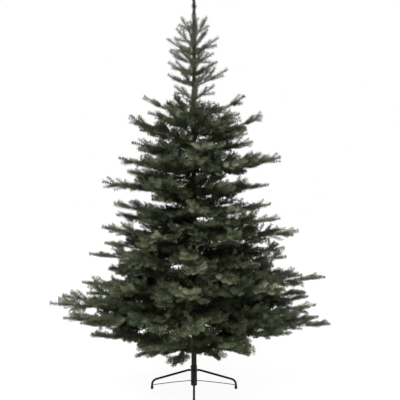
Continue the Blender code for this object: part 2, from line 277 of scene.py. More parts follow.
SPRAY_COLOURS = {
    "needles_shade": (0.02, 0.024, 0.0112),
    "needles_deep": (0.031, 0.0372, 0.0186),
    "needles_green": (0.033, 0.0445, 0.024),
    "needles_blue": (0.037, 0.0485, 0.0335),
    "needles_mid": (0.05, 0.0581, 0.0316),
    "needles_olive": (0.07, 0.0775, 0.0437),
    "needles_pale": (0.106, 0.1122, 0.0707),
    "needles_grey": (0.082, 0.083, 0.069),
}
SHADE, DEEP, GREEN, BLUE, MID, OLIVE, PALE, GREY = range(len(SPRAY_COLOURS))
SCALE = (SHADE, DEEP, MID, OLIVE, PALE)  # from dark to light
SCALE_STEPS = ((-1, 0, 1), (1, 6, 1))
# Sprays deeper in the crown take darker tones: painted shade inside, painted light towards the ends.
TONES = (  # (depth from which they hold, tones, shares)
    (0.46, (SHADE,), (1,)),
    (0.28, (SHADE, DEEP, GREEN, BLUE, MID), (4, 5, 1, 1, 2)),
    (0.14, (SHADE, DEEP, MID, GREEN, BLUE, OLIVE, PALE), (2, 5, 7, 1, 1, 5, 1)),
    (-math.inf, (DEEP, MID, BLUE, OLIVE, PALE), (1, 4, 1, 6, 4)),
)
# Depth added by height: painted shade low down, painted light high up.
TONE_HEIGHTS = (0.25, 0.36, 0.5, 0.7, 1.6)
HEIGHT_LIGHT_AND_SHADE = (0.29, 0.135, 0.065, -0.035, -0.125)
# More depth at the lower right: painted shade there.
RIGHT_FROM, RIGHT_BELOW, RIGHT_PAINTED_SHADE = 0.36, 0.575, 0.11
# Less depth at the ends of the longest boughs: painted light there.
ENDS_FROM, ENDS_PAINTED_LIGHT = 0.48, 0.45  # radius, and depth taken off for a metre beyond it
WHORL_TONES = (OLIVE, GREY, GREY)
NEEDLE_ROUGHNESS = 0.7
NEEDLE_SPECULAR = 0.12
BARK_COLOUR = (0.014, 0.014, 0.009)
BARK_ROUGHNESS = 0.8
BARK_SPECULAR = 0.1

SEED = 9  # of everything that grows

# Pole and stand, whose sizes are those of the CAD part
GAP = 0.0003
POLE_TUBES = ((0.0463, 0.014), (1.015, 0.0125), (1.498, 0.009))  # (height of its start, radius)
POLE_SHOULDER = 0.004
POLE_TIP = (0.0025, 2.085)
POLE_STEP = 0.012
POLE_SIDES = 40
POLE_DENT = 0.00022
DENT_SCALE = (60.0, 60.0, 22.0)
LIP = 0.0005  # of a rolled edge
HUB_RADIUS = 0.0165
HUB_BORE = 0.0146
HUB_BOTTOM = 0.02
HUB_TOP = 0.126
HUB_EDGE = 0.0016
HUB_STEPS = 8
LEG_RADIUS = 0.0055
LEG_SIDES = 20
LEG_TOP = 0.1005
LEG_STUB = 0.03
LEG_BEND = 0.007
LEG_REACH = 0.2248
LEG_STEPS = 6
LEG_KNEE_HEIGHT = 0.046
LEG_KNEE_RADIUS = 0.026
BEND_STEPS = 8
WELD = 0.0016  # at a leg's root: its height and length
WELD_PROFILE = ((0.0, 0.8), (0.3, 0.34), (0.6, 0.12), (1.0, 0.0))  # shares of it: along, out
FOOT_RADIUS = 0.0073
FOOT_SIDES = 32
FOOT_HEIGHT = 0.015
FOOT_SOLE = 0.003
FOOT_MIDDLE = 0.0008
FOOT_EDGE = ((0.001, 0.0), (0.0003, 0.0004), (0.0, 0.0012))  # (in from its radius, height)
FOOT_RIM = (0.0002, 0.0009)
FOOT_PLAIN = 0.002
FOOT_RIBS = 3
FOOT_RIB = ((0.0, 0.0), (0.0, 0.62), (LIP, 0.72), (LIP, 0.92))  # (in from its radius, share of height)
BRACE_RADIUS = 0.002
BRACE_SIDES = 12
BRACE_STEPS = 18
BRACE_HEIGHTS = (0.0436, 0.039)
BRACE_END = 0.0218
BRACE_STRAIGHT = 0.029
BRACE_SAG = 0.0012
SCREW_HEIGHT = 0.112
SCREW_ANGLE = 120.0
SCREW_RADIUS = 0.0028
SCREW_STEPS = 12
SCREW_PITCH = 0.0008
THREAD_DEPTH = 0.1
KNOB_RADIUS = 0.006
KNOB_PROFILE = ((0.0009, 0.88), (0.0018, 1.0), (0.0138, 1.0), (0.015, 0.88))  # (way out, share of radius)
KNURLS = 24
KNURL_DEPTH = 0.05
COLLAR_RADIUS = 0.024
COLLAR_HEIGHT = 0.016
COLLAR_EDGE = 2 * LIP
COLLAR_BAND = (5 * LIP, 7 * LIP)  # from a rim
BOUGH_RADIUS = 0.0034
BOUGH_TAPER = 0.8
BOUGH_SIDES = 16
BOUGH_STEPS = 56
BOUGH_HIDDEN = 0.01  # how far it goes in among the needles
TAPE_PITCH = 0.0045
TAPE_EDGE = 0.13  # of the bough's radius
ROUND_SIDES = 48
RIM_STEPS = 4
SHARP_ANGLE = 38.0
SIDES = {"right": 0.0, "back": 90.0, "left": 180.0, "front": 270.0}

# Coats vary in patches between two colours and two degrees of roughness, and have a fine grain
Coat = namedtuple("Coat", "low high scale roughness bump specular metallic", defaults=(0.0,))
COATS = {
    "black_paint": Coat((0.0022, 0.0022, 0.0021), (0.0048, 0.0047, 0.0043), 70.0, (0.5, 0.66), 0.35, 0.08),
    "hub_paint": Coat((0.006, 0.006, 0.0056), (0.011, 0.0108, 0.01), 70.0, (0.42, 0.58), 0.3, 0.14),
    "pole_paint": Coat((0.007, 0.008, 0.005), (0.015, 0.0165, 0.011), 45.0, (0.5, 0.7), 0.4, 0.18),
    "cap_rubber": Coat((0.004, 0.004, 0.004), (0.008, 0.008, 0.0076), 120.0, (0.7, 0.85), 0.5, 0.2),
    "screw_steel": Coat((0.05, 0.05, 0.048), (0.095, 0.094, 0.09), 160.0, (0.3, 0.48), 0.3, 0.5, 1.0),
    "bough_tape": Coat((0.016, 0.019, 0.01), (0.032, 0.036, 0.022), 90.0, (0.55, 0.75), 0.4, 0.25),
}
PATCH_DETAIL = 4.0
PATCH_RANGE = (0.36, 0.68)
GRAIN_SCALE = 12.0
GRAIN_DETAIL = 2.0
GRAIN_HEIGHT = 0.0004

Twig = namedtuple("Twig", "points radii sides")
Brush = namedtuple("Brush", "start end length width density tone closing offset lean")


def material(name, colour, roughness, metallic=0.0, specular=0.5):
    made = bpy.data.materials.new(name)
    made.use_nodes = True
    shader = made.node_tree.nodes["Principled BSDF"]
    shader.inputs["Base Color"].default_value = (*colour, 1.0)
    shader.inputs["Roughness"].default_value = roughness
    shader.inputs["Metallic"].default_value = metallic
    shader.inputs["Specular IOR Level"].default_value = specular
    return made


def stands_for(piece, slot, *nodes):
    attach(piece, "root")
    if nodes:
        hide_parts(*nodes)


def polar(radius, angle, height):
    turn = math.radians(angle)
    return Vector((radius * math.cos(turn), radius * math.sin(turn), height))


def about(draw, spread, *count):
    return draw.uniform(-spread, spread, *count)


def lerp(pair, share):
    return pair[0] + (pair[1] - pair[0]) * min(1.0, max(0.0, share))


# Lines of the boughs


def right_share(angle):
    return (1.0 + math.cos(math.radians(angle))) / 2.0


def tier_reach(tier, angle):
    return tier.left + (tier.right - tier.left) * right_share(angle)


def tip_height(tier, reach, angle):
    """Height of a bough's tip, which is lower in front and behind than at the sides."""
    full = tier_reach(tier, angle)
    rise = tier.left_tip + (tier.right_tip - tier.left_tip) * right_share(angle) - tier.root
    sag = FRONT_SAG * full * math.sin(math.radians(angle)) ** 2
    return tier.root + (rise - sag) * (reach / full) ** BOUGH_CURVES[0]


def bough_line(draw, angle, root, reach, tip, core, arch=0.0):
    """Point of a bough at a radius. It hangs a little, then sweeps up to its tip, and sways to both sides."""
    curve = draw.uniform(*BOUGH_CURVES)
    sag = draw.uniform(*BOUGH_SAGS) * reach
    phase = draw.uniform(0, math.tau)
    bend = draw.uniform(*BOUGH_BENDS)

    def line(radius):
        share = radius / reach
        height = root + (tip - root + sag) * share**curve - sag * share
        height += arch * min(1.0, (radius - core) / BOUGH_EASE) * (1.0 - share)
        sway = bend * math.sin(phase + radius * BOUGH_WAVE) * min(1.0, (reach - radius) / BOUGH_EASE)
        return polar(radius, angle, height) + polar(sway, angle + 90.0, 0.0)

    return line


def tier_boughs(tier):
    """(angle, reach) of each bough, going round from the right-hand one."""
    draw = random.Random(tier.name)
    behind = [180.0 * (k + 1) / (tier.back + 1) for k in range(tier.back)]
    before = [180.0 + 180.0 * (k + 1) / (tier.front + 1) for k in range(tier.front)]
    boughs = []
    for angle in (0.0, *behind, 180.0, *before):
        to_the_side = angle in (0.0, 180.0)
        sway = tier.turn if to_the_side else about(draw, SWAY)
        length = 1.0 if to_the_side else draw.uniform(*LENGTHS)
        boughs.append((angle + sway, tier_reach(tier, angle) * length))
    return boughs


# Growth


class Group:
    """The twigs and the brushes of needles of one tier."""

    def __init__(self, turns, plane_spread):
        self.draw = None
        self.turns = turns
        self.plane_spread = plane_spread
        self.twigs = []
        self.brushes = []

    def brush(self, points, reach, tone, kind=None):
        """Needles all along a stem. They are larger and further apart inside the crown."""
        for k, (start, end) in enumerate(zip(points, points[1:])):
            depth = depth_of((start + end) / 2, reach)
            of_depth = NEEDLE_KINDS[sum(depth > limit for limit in KIND_DEPTHS)]
            closing = 1.0 if k == len(points) - 2 else 0.0
            needle = (*(kind or of_depth), tone, closing, NEEDLE_OFFSET, NEEDLE_SWEEP)
            self.brushes.append(Brush(start, end, *needle))

    def twig(self, points, start_radius, end_radius, sides):
        last = len(points) - 1
        radii = [start_radius + (end_radius - start_radius) * k / last for k in range(last + 1)]
        self.twigs.append(Twig(points, radii, sides))


def stem_points(start, heading, length, towards, turn, steps):
    """Points of a stem that sets out along heading and bends by turn degrees towards a direction."""
    points = [start.copy()]
    way = heading.normalized()
    for _ in range(steps):
        points.append(points[-1] + way * (length / steps))
        way = (way + towards * math.tan(math.radians(turn / steps))).normalized()
    return points


def span_of(points):
    return sum((b - a).length for a, b in zip(points, points[1:]))


def point_back(points, distance):
    """The point and heading at a distance back from the tip of a stem."""
    for k in range(len(points) - 1, 0, -1):
        step = points[k] - points[k - 1]
        if distance <= step.length or k == 1:
            heading = step.normalized()
            return points[k] - heading * min(distance, step.length), heading
        distance -= step.length


def flat_of(along, roll):
    """Across and above a stem that runs along, rolled round it by an angle."""
    across = along.cross(UP)
    across = across.normalized() if across.length > STEEP else Vector((1.0, 0.0, 0.0))
    above = across.cross(along)
    turn = math.radians(roll)
    return across * math.cos(turn) + above * math.sin(turn), above * math.cos(turn) - across * math.sin(turn)


def forked(along, across, above, fork, turn):
    """The heading that forks off a stem, on the side given by a turn round it."""
    fork = math.radians(fork)
    turn = math.radians(turn)
    return along * math.cos(fork) + (across * math.cos(turn) + above * math.sin(turn)) * math.sin(fork)


def depth_of(point, reach):
    """Depth in the crown: 0 at the end of a bough of this reach and 1 at the pole."""
    return min(1.0, max(0.0, 1.0 - math.hypot(point.x, point.y) / reach))


def tone_of(draw, depth, point):
    """The colour of a spray: painted shade makes it darker inside, low down and at the lower right, and
    painted light makes it lighter at the ends of the longest boughs.
    """
    depth += np.interp(point.z, TONE_HEIGHTS, HEIGHT_LIGHT_AND_SHADE)
    if point.x > RIGHT_FROM and point.z < RIGHT_BELOW:
        depth += RIGHT_PAINTED_SHADE
    depth -= ENDS_PAINTED_LIGHT * max(0.0, math.hypot(point.x, point.y) - ENDS_FROM)
    tones, shares = next((tones, shares) for limit, tones, shares in TONES if depth > limit)
    return draw.choices(tones, shares)[0]


def near_tone(draw, tone):
    """The colour of one shoot of a spray: the spray's own, or the next one on the scale."""
    step = draw.choices(*SCALE_STEPS)[0]
    if tone not in SCALE:
        return tone
    return SCALE[min(len(SCALE) - 1, max(0, SCALE.index(tone) + step))]


def grow_spray(group, start, way, length, reach):
    """A straight shoot with pairs of shoots, nearly in one plane, all of nearly one colour."""
    draw = group.draw
    axis = stem_points(start, way, length, UP, draw.uniform(*SPRAY_BEND), 2)
    along = (axis[-1] - axis[0]).normalized()
    across, above = flat_of(along, about(draw, group.plane_spread))
    tone = tone_of(draw, depth_of(axis[1], reach), axis[1])
    group.twig(axis, *SPRAY_RADII, 3)
    group.brush(axis, reach, tone)
    distance = PAIR_FIRST * draw.uniform(*PAIR_FIRST_SPREAD)
    while distance < length - PAIR_LAST:
        for hand in (0.0, 180.0):
            shift = about(draw, PAIR_SHIFT)
            foot, heading = point_back(axis, length - distance - shift)
            roll = draw.uniform(*SHOOT_ROLL)
            turn = hand + (roll if hand == 0.0 else -roll)
            side = forked(heading, across, above, draw.uniform(*SHOOT_FORK), turn)
            long = SHOOT_GROWTH[0] + SHOOT_GROWTH[1] * (length - distance)
            long = min(long, LONGEST_SHOOT) * draw.uniform(*SHOOT_LENGTHS)
            shoot = stem_points(foot, side, long, heading, draw.uniform(*SHOOT_BEND), 2)
            group.twig([shoot[0], shoot[-1]], *SHOOT_RADII, 3)
            group.brush(shoot, reach, near_tone(draw, tone))
        distance += PAIR_SPACING * draw.uniform(*PAIR_SPREAD)


def grow_sprays(group, points, reach, bare, most_at):
    """Pairs of sprays round a stem, from its tip inwards, and one at its tip."""
    draw = group.draw
    whole = span_of(points)
    size = lerp((LEAST_SIZE, 1.0), reach / FULL_REACH)
    long = min(whole * TIP_SPRAY_SHARE, LONGEST_SPRAY * size * draw.uniform(*TIP_SPRAY_LENGTHS))
    foot, along = point_back(points, long)
    grow_spray(group, foot, along, long, reach)
    back = SPRAY_FIRST * draw.uniform(*FIRST_SPREAD)
    step = draw.randrange(len(group.turns))
    while back < min(SPRAYED_TO, whole - bare):
        for turn in group.turns[step % len(group.turns)]:
            foot, along = point_back(points, back + about(draw, SPRAY_SHIFT))
            fork = lerp(SPRAY_FORK, back / SETTLES) + about(draw, FORK_SPREAD)
            turn += about(draw, TURN_SPREAD)
            way = forked(along, *flat_of(along, 0.0), fork, turn)
            most = most_at(math.hypot(foot.x, foot.y))
            long = min(most, LONGEST_SPRAY, SPRAY_GROWTH[0] + SPRAY_GROWTH[1] * back)
            long *= size * draw.uniform(*SPRAY_LENGTHS)
            grow_spray(group, foot, way, long, reach)
        step += 1
        back += lerp(SPRAY_SPACING, back / SETTLES) * draw.uniform(*SPACING_SPREAD)


def grow_bough(group, line, reach, core, most_at):
    """A bough: its main stem, an arm to each side, and sprays on all three."""
    draw = group.draw
    steps = max(FEWEST_STEPS[0], round((reach - core) / BOUGH_STEP))
    points = [line(core + (reach - TIP_CLEARANCE - core) * k / steps) for k in range(steps + 1)]
    whole = span_of(points)
    group.twig(points, BOUGH_GIRTH[0] + BOUGH_GIRTH[1] * reach, TIP_RADIUS, 6)
    # Needles on the stem take the deep tone: painted shade inside the crown.
    group.brush(points, reach, DEEP)
    grow_sprays(group, points, reach, STEM_BARE, most_at)
    if whole < ARMED_FROM:
        return
    turns = [draw.uniform(*ARM_TURNS), 180.0 - draw.uniform(*ARM_TURNS)]
    draw.shuffle(turns)
    for share, turn in zip(ARM_SHARES, turns):
        left = whole * (1.0 - share - about(draw, ARM_SHIFT))
        foot, along = point_back(points, left)
        way = forked(along, *flat_of(along, 0.0), draw.uniform(*ARM_FORKS), turn)
        long = left * draw.uniform(*ARM_LENGTHS)
        steps = max(FEWEST_STEPS[1], round(long / ARM_STEP))
        arm = stem_points(foot, way, long, along, draw.uniform(*ARM_BEND), steps)
        group.twig(arm, ARM_GIRTH[0] + ARM_GIRTH[1] * long, TIP_RADIUS, 5)
        # Needles on the arm take the deep tone: painted shade inside the crown.
        group.brush(arm, reach, DEEP)
        grow_sprays(group, arm, reach, ARM_BARE, most_at)


def grow_ring_bough(group, tier, angle, reach, count):
    draw = group.draw
    to_the_side = abs(math.cos(math.radians(angle))) > TO_THE_SIDE
    if to_the_side:
        most = tier_reach(tier, angle)
        reach *= draw.uniform(*TIP_SHIFTS)
        tip = tip_height(tier, most, angle) + about(draw, SIDE_SPREAD)
    else:
        tip = tip_height(tier, reach, angle) + about(draw, TIER_SPREAD)
    core, arch = CORE, 0.0
    if tier is TIERS[0]:
        core = LOW_CORE
        arch = LOWEST_ARCH[0] if to_the_side else LOWEST_ARCH[1]
    if tier is TIERS[0] and not to_the_side:
        reach *= LOWEST_SHARE
        turn = math.radians(angle)
        tip = LOWEST_TIPS[0] - LOWEST_TIPS[1] * math.sin(turn) ** 2 + LOWEST_TIPS[2] * math.cos(turn)
        tip += about(draw, LOWEST_TIP_SPREAD)
    line = bough_line(draw, angle, tier.root, reach, tip, core, arch)
    grow_bough(group, line, reach, core, lambda radius: RING_ROOM * radius / count + LEAST_ROOM)


def grow_free_bough(group, angle, root, reach, tip, core):
    draw = group.draw
    angle += about(draw, SWAY)
    reach *= draw.uniform(*TIP_SHIFTS)
    tip += about(draw, SIDE_SPREAD)
    line = bough_line(draw, angle, root, reach, tip, core)
    grow_bough(group, line, reach, core, lambda radius: FREE_ROOM * radius + LEAST_ROOM)


def grow_filler(group, tier, above, k, count):
    """The k-th short bough half way up to the next tier."""
    draw = group.draw
    angle = 360.0 * (k + draw.random()) / count
    reach = FILLER_REACH * tier_reach(tier, angle) * draw.uniform(*FILLER_REACHES)
    root = (tier.root + above.root) / 2 + about(draw, FILLER_ROOTS)
    rise = tip_height(tier, reach, angle) - tier.root
    grow_free_bough(group, angle, root, reach, root + rise + draw.uniform(*FILLER_RISES), CORE)


def grow_heart(group, low, high, reach):
    """Sprays that stand out from the pole between two heights."""
    draw = group.draw
    angle = draw.uniform(0, 360)
    count = max(FEWEST_HEARTS, round((high - low) * HEARTS_PER_METRE[low > OPEN_ABOVE]))
    for k in range(count):
        height = low + (high - low) * (k + draw.random()) / count
        rise = math.tan(math.radians(draw.uniform(*HEART_RISE)))
        way = polar(1.0, angle, rise).normalized()
        long = min(HEART_LENGTH, reach * HEART_SHARE) * draw.uniform(*HEART_LENGTHS)
        grow_spray(group, polar(HEART_START, angle, height), way, long, max(reach, HEART_DEPTH * long))
        angle += HEART_TURN[0] + about(draw, HEART_TURN[1])


def whorl_shoots(group, points, reach, tone):
    """Shoots that fork off the lower half of a thin bough."""
    draw = group.draw
    whole = span_of(points)
    turn = draw.uniform(0.0, 360.0)
    share = draw.uniform(*WHORL_FIRST)
    while share < WHORL_LAST:
        foot, along = point_back(points, whole * (1.0 - share))
        way = forked(along, *flat_of(along, 0.0), draw.uniform(*WHORL_FORK), turn)
        long = whole * (WHORL_GROWTH[0] - WHORL_GROWTH[1] * share) * draw.uniform(*WHORL_LENGTHS)
        shoot = stem_points(foot, way, long, along, draw.uniform(*WHORL_BEND), 2)
        group.twig([shoot[0], shoot[-1]], *WHORL_SHOOT_RADII, 4)
        group.brush(shoot, reach, tone, WHORL_NEEDLE)
        turn += draw.uniform(*WHORL_TURN)
        share += draw.uniform(*WHORL_SPACING)


def grow_whorl(group, tier):
    """Thin boughs of the top: each is one long shoot with a few shorter ones."""
    for angle, reach in tier_boughs(tier):
        span = reach - WHORL_CLEARANCE - WHORL_CORE
        points = []
        for k in range(WHORL_STEPS + 1):
            radius = WHORL_CORE + span * k / WHORL_STEPS
            points.append(polar(radius, angle, tip_height(tier, radius, angle)))
        tone = group.draw.choice(WHORL_TONES)
        group.twig(points, *WHORL_RADII, 5)
        group.brush(points, reach, tone, WHORL_NEEDLE)
        whorl_shoots(group, points, reach, tone)


def dress_pole(group, low, high):
    points = [Vector((0.0, 0.0, low + (high - low) * k / 4)) for k in range(5)]
    for start, end in zip(points, points[1:]):
        group.brushes.append(Brush(start, end, *POLE_NEEDLE, MID, 0.0, POLE_OFFSET, POLE_SWEEP))


def grow_leader(group):
    """The leader: beads of needles on the pole's tip, with a narrow neck between two."""
    steps = round((LEADER_TIP - LEADER_START) / LEADER_STEP)
    heights = [LEADER_START + (LEADER_TIP - LEADER_START) * k / steps for k in range(steps + 1)]
    for low, high in zip(heights, heights[1:]):
        share = (low - LEADER_START) / (LEADER_TIP - LEADER_START)
        offset = lerp(LEADER_CORE, share)
        bead = 0.5 + 0.5 * math.sin(math.tau * (low - LEADER_START) / LEADER_BEAD)
        length = (lerp(LEADER_RADII, bead) - offset) / math.sin(math.radians(LEADER_SWEEP))
        start, end = Vector((0.0, 0.0, low)), Vector((0.0, 0.0, high))
        closing = 1.0 if high == heights[-1] else 0.0
        tone = DEEP if bead > 0.5 else GREY
        group.brushes.append(Brush(start, end, length, *LEADER_NEEDLE, tone, closing, offset, LEADER_SWEEP))


def near_tier(root):
    return min(TIERS, key=lambda tier: abs(tier.root - root))


def parts(tier):
    """Functions that each add one part of a tier: a bough of its ring, a free one, its heart or a filler."""
    if tier.name.startswith("whorl"):
        return [lambda group: grow_whorl(group, tier)]
    above = TIERS[TIERS.index(tier) + 1]
    ring = tier_boughs(tier)
    free = [(*bough, CORE) for bough in SIDE_BOUGHS if near_tier(bough[1]) is tier]
    if tier is TIERS[0]:
        free += [(*bough, LOW_CORE) for bough in LOW_BOUGHS]
    made = [lambda group, bough=bough: grow_ring_bough(group, tier, *bough, len(ring)) for bough in ring]
    made += [lambda group, bough=bough: grow_free_bough(group, *bough) for bough in free]
    made.append(lambda group: grow_heart(group, tier.root, above.root, tier.left))
    if above.name.startswith("tier"):
        count = FILLER_COUNTS[tier.root > OPEN_ABOVE]
        made += [lambda group, k=k: grow_filler(group, tier, above, k, count) for k in range(count)]
    return made


def grown(tier):
    """All that grows in one tier, each part with draws of its own."""
    index = TIERS.index(tier)
    group = Group(SPRAY_TURNS, PLANE_SPREAD) if index else Group(LOWEST_TURNS, LOWEST_SPREAD)
    for k, grow in enumerate(parts(tier)):
        group.draw = random.Random(f"{tier.name} {k} {SEED}")
        grow(group)
    if tier.name.startswith("whorl"):
        low = DRESSED_FROM if TIERS[index - 1].name.startswith("tier") else tier.root
        high = TIERS[index + 1].root if index + 1 < len(TIERS) else LEADER_START
        dress_pole(group, low, high)
    return group


# Meshes


def unit(rows):
    return rows / np.maximum(np.linalg.norm(rows, axis=1, keepdims=True), 1e-9)


def squares(ways):
    """Vectors square to each way: a level one, and one above the way."""
    side = np.cross(ways, (0.0, 0.0, 1.0))
    side[np.linalg.norm(side, axis=1) < STEEP] = (1.0, 0.0, 0.0)
    side = unit(side)
    return side, np.cross(side, ways)


def made_mesh(name, points, faces, slots, materials, smooth):
    mesh = bpy.data.meshes.new(name)
    mesh.vertices.add(len(points))
    mesh.vertices.foreach_set("co", points.astype(np.float32).ravel())
    mesh.loops.add(faces.size)
    mesh.loops.foreach_set("vertex_index", faces.astype(np.int32).ravel())
    mesh.polygons.add(len(faces))
    mesh.polygons.foreach_set("loop_start", np.arange(0, faces.size, faces.shape[1], dtype=np.int32))
    mesh.polygons.foreach_set("use_smooth", np.full(len(faces), smooth))
    for made in materials:
        mesh.materials.append(made)
    mesh.polygons.foreach_set("material_index", np.broadcast_to(slots, len(faces)).astype(np.int32))
    mesh.update(calc_edges=True)
    obj = bpy.data.objects.new(name, mesh)
    bpy.context.scene.collection.objects.link(obj)
    return obj


def wall_faces(count, sides, wrap=False):
    """Triangles of a wall through so many rings, which may wrap round."""
    k = np.arange(count if wrap else count - 1)[:, None]
    j = np.arange(sides)[None, :]
    a = (k * sides + j).ravel()
    b = (k * sides + (j + 1) % sides).ravel()
    c = ((k + 1) % count * sides + (j + 1) % sides).ravel()
    d = ((k + 1) % count * sides + j).ravel()
    return np.vstack([np.stack([a, b, c], axis=1), np.stack([a, c, d], axis=1)])


def fan(first, sides, middle):
    """Triangles from a ring, from its first point on, to one in the middle."""
    j = np.arange(sides)
    return np.stack([first + j, first + (j + 1) % sides, np.full(sides, middle)], axis=1)


# Needles


def needle_places(draw, last, span, count):
    """The brush of each needle, its place along it and how far it leans forward. Needles stand in rings, but
    not at the end of a shoot."""
    pick = np.repeat(np.arange(len(count)), count)
    order = np.arange(len(pick)) - np.repeat(np.cumsum(count) - count, count)
    share = (order + draw.uniform(0, 1, len(pick))) / count[pick]
    closing = last[pick] * np.clip(1.0 - (1.0 - share) * span[pick] / CLOSING_LENGTH, 0.0, 1.0)
    rings = np.maximum(1, np.round(span / NEEDLE_STEP))[pick]
    in_ring = (np.floor(share * rings) + 0.5 + about(draw, RING_SPREAD, len(pick))) / rings
    return pick, np.where(closing > 0.0, share, in_ring), closing


def kites(draw, base, way, out, length, half):
    """Points and faces of folded kites, rolled round their own length."""
    level = unit(np.cross(way, out))
    raised = np.cross(level, way)
    roll = draw.uniform(-1.0, 1.0, len(base))[:, None] * math.radians(NEEDLE_ROLL)
    across = level * np.cos(roll) + raised * np.sin(roll)
    above = raised * np.cos(roll) - level * np.sin(roll)
    middle = base + way * (length * NEEDLE_WIDEST)[:, None] - above * (half * NEEDLE_FOLD)[:, None]
    left = middle + across * half[:, None]
    right = middle - across * half[:, None]
    points = np.stack([base, right, base + way * length[:, None], left], axis=1).reshape(-1, 3)
    first = np.arange(len(base)) * 4
    faces = np.stack([first, first + 1, first + 2, first, first + 2, first + 3], axis=1).reshape(-1, 3)
    return points, faces


def needle_mesh(name, brushes, per_metre, seed, materials):
    """Needles that stand out round the brushes and lean towards their ends."""
    draw = np.random.default_rng(seed)
    rows = Brush(*(np.array(values) for values in zip(*brushes)))
    span = np.linalg.norm(rows.end - rows.start, axis=1)
    count = np.maximum(1, np.round(span * rows.density * per_metre).astype(int))
    pick, share, closing = needle_places(draw, rows.closing, span, count)
    stem = Brush(*(values[pick] for values in rows))
    axis = unit(stem.end - stem.start)
    side, lift = squares(axis)
    around = np.arange(len(pick)) * GOLDEN_TURN + about(draw, AROUND_SPREAD, len(pick))
    out = side * np.cos(around)[:, None] + lift * np.sin(around)[:, None]
    sweep = stem.lean * (1.0 - (1.0 - CLOSED_SWEEP) * closing)
    sweep = np.radians(sweep + about(draw, SWEEP_SPREAD, len(pick)))[:, None]
    length = stem.length * (1.0 - UNDER_SHARE * np.maximum(0.0, -np.sin(around)))
    length *= draw.uniform(*NEEDLE_LENGTHS, len(pick))
    way = unit(axis * np.cos(sweep) + out * np.sin(sweep) + (0.0, 0.0, NEEDLE_LIFT))
    base = stem.start + (stem.end - stem.start) * share[:, None] + out * stem.offset[:, None]
    points, faces = kites(draw, base, way, out, length, stem.width / 2)
    return made_mesh(name, points, faces, np.repeat(stem.tone, 2), materials, False)


def lots(sizes, most):
    """Numbers of neighbouring items, in lots whose sizes add up to no more than most."""
    found, held = [[]], 0.0
    for k, size in enumerate(sizes):
        if held + size > most:
            found.append([])
            held = 0.0
        found[-1].append(k)
        held += size
    return found


def make_needles(groups, materials):
    lengths = [sum((b.end - b.start).length * b.density for b in group.brushes) for group in groups]
    per_metre = NEEDLE_COUNT / sum(lengths)
    sizes = [2 * per_metre * length for length in lengths]
    for k, lot in enumerate(lots(sizes, MOST_TRIANGLES), 1):
        brushes = [brush for i in lot for brush in groups[i].brushes]
        piece = needle_mesh(f"needles_{k}", brushes, per_metre, k, materials)
        masses = [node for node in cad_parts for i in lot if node.startswith(TIERS[i].name + "_foliage")]
        if len(TIERS) - 1 in lot:
            masses.append("leader_foliage")
        stands_for(piece, "needles", *masses)


def twig_arrays(twig):
    """Rings along a twig, and a point beyond the last one."""
    points = np.array(twig.points)
    radii = np.array(twig.radii)
    ways = unit(np.gradient(points, axis=0))
    side, lift = squares(ways)
    turn = (np.arange(twig.sides) * math.tau / twig.sides)[None, :, None]
    out = (side[:, None] * np.cos(turn) + lift[:, None] * np.sin(turn)) * radii[:, None, None]
    rings = (points[:, None] + out).reshape(-1, 3)
    tip = points[-1] + ways[-1] * radii[-1] * 2
    end = fan(len(rings) - twig.sides, twig.sides, len(rings))
    return np.vstack([rings, tip]), np.vstack([wall_faces(len(points), twig.sides), end])


def make_twigs(groups, bark):
    points, faces, held = [], [], 0
    for twig in (twig for group in groups for twig in group.twigs):
        corners, triangles = twig_arrays(twig)
        points.append(corners)
        faces.append(triangles + held)
        held += len(corners)
    twigs = made_mesh("twigs", np.vstack(points), np.vstack(faces), 0, [bark], True)
    stands_for(twigs, "bough_wire")


# Pole and stand


def new_noise(nodes, links, place, scale, detail):
    made = nodes.new("ShaderNodeTexNoise")
    made.inputs["Scale"].default_value = scale
    made.inputs["Detail"].default_value = detail
    links.new(place.outputs["Object"], made.inputs["Vector"])
    return made


def coat(name):
    look = COATS[name]
    made = material(name, look.low, look.roughness[0], look.metallic, look.specular)
    nodes, links = made.node_tree.nodes, made.node_tree.links
    shader = nodes["Principled BSDF"]
    place = nodes.new("ShaderNodeTexCoord")
    patches = new_noise(nodes, links, place, look.scale, PATCH_DETAIL)
    ramp = nodes.new("ShaderNodeValToRGB")
    for element, position, colour in zip(ramp.color_ramp.elements, PATCH_RANGE, (look.low, look.high)):
        element.position = position
        element.color = (*colour, 1.0)
    links.new(patches.outputs["Fac"], ramp.inputs["Fac"])
    links.new(ramp.outputs["Color"], shader.inputs["Base Color"])
    gloss = nodes.new("ShaderNodeMapRange")
    gloss.inputs["To Min"].default_value, gloss.inputs["To Max"].default_value = look.roughness
    links.new(patches.outputs["Fac"], gloss.inputs["Value"])
    links.new(gloss.outputs["Result"], shader.inputs["Roughness"])
    grain = new_noise(nodes, links, place, look.scale * GRAIN_SCALE, GRAIN_DETAIL)
    relief = nodes.new("ShaderNodeBump")
    relief.inputs["Strength"].default_value = look.bump
    relief.inputs["Distance"].default_value = GRAIN_HEIGHT
    links.new(grain.outputs["Fac"], relief.inputs["Height"])
    links.new(relief.outputs["Normal"], shader.inputs["Normal"])
    return made


def skin(name, rings, paint, wrap=False):
    """A closed mesh through rings of points. It wraps round, or has a cap at each end."""
    rings = np.asarray(rings, float)
    count, sides = rings.shape[:2]
    points = rings.reshape(-1, 3)
    faces = wall_faces(count, sides, wrap)
    if not wrap:
        points = np.vstack([points, rings[0].mean(axis=0), rings[-1].mean(axis=0)])
        start = fan(0, sides, count * sides)[:, [1, 0, 2]]
        faces = np.vstack([faces, start, fan((count - 1) * sides, sides, count * sides + 1)])
    obj = made_mesh(name, points, faces, 0, [paint], True)
    obj.data.set_sharp_from_angle(angle=math.radians(SHARP_ANGLE))
    return obj


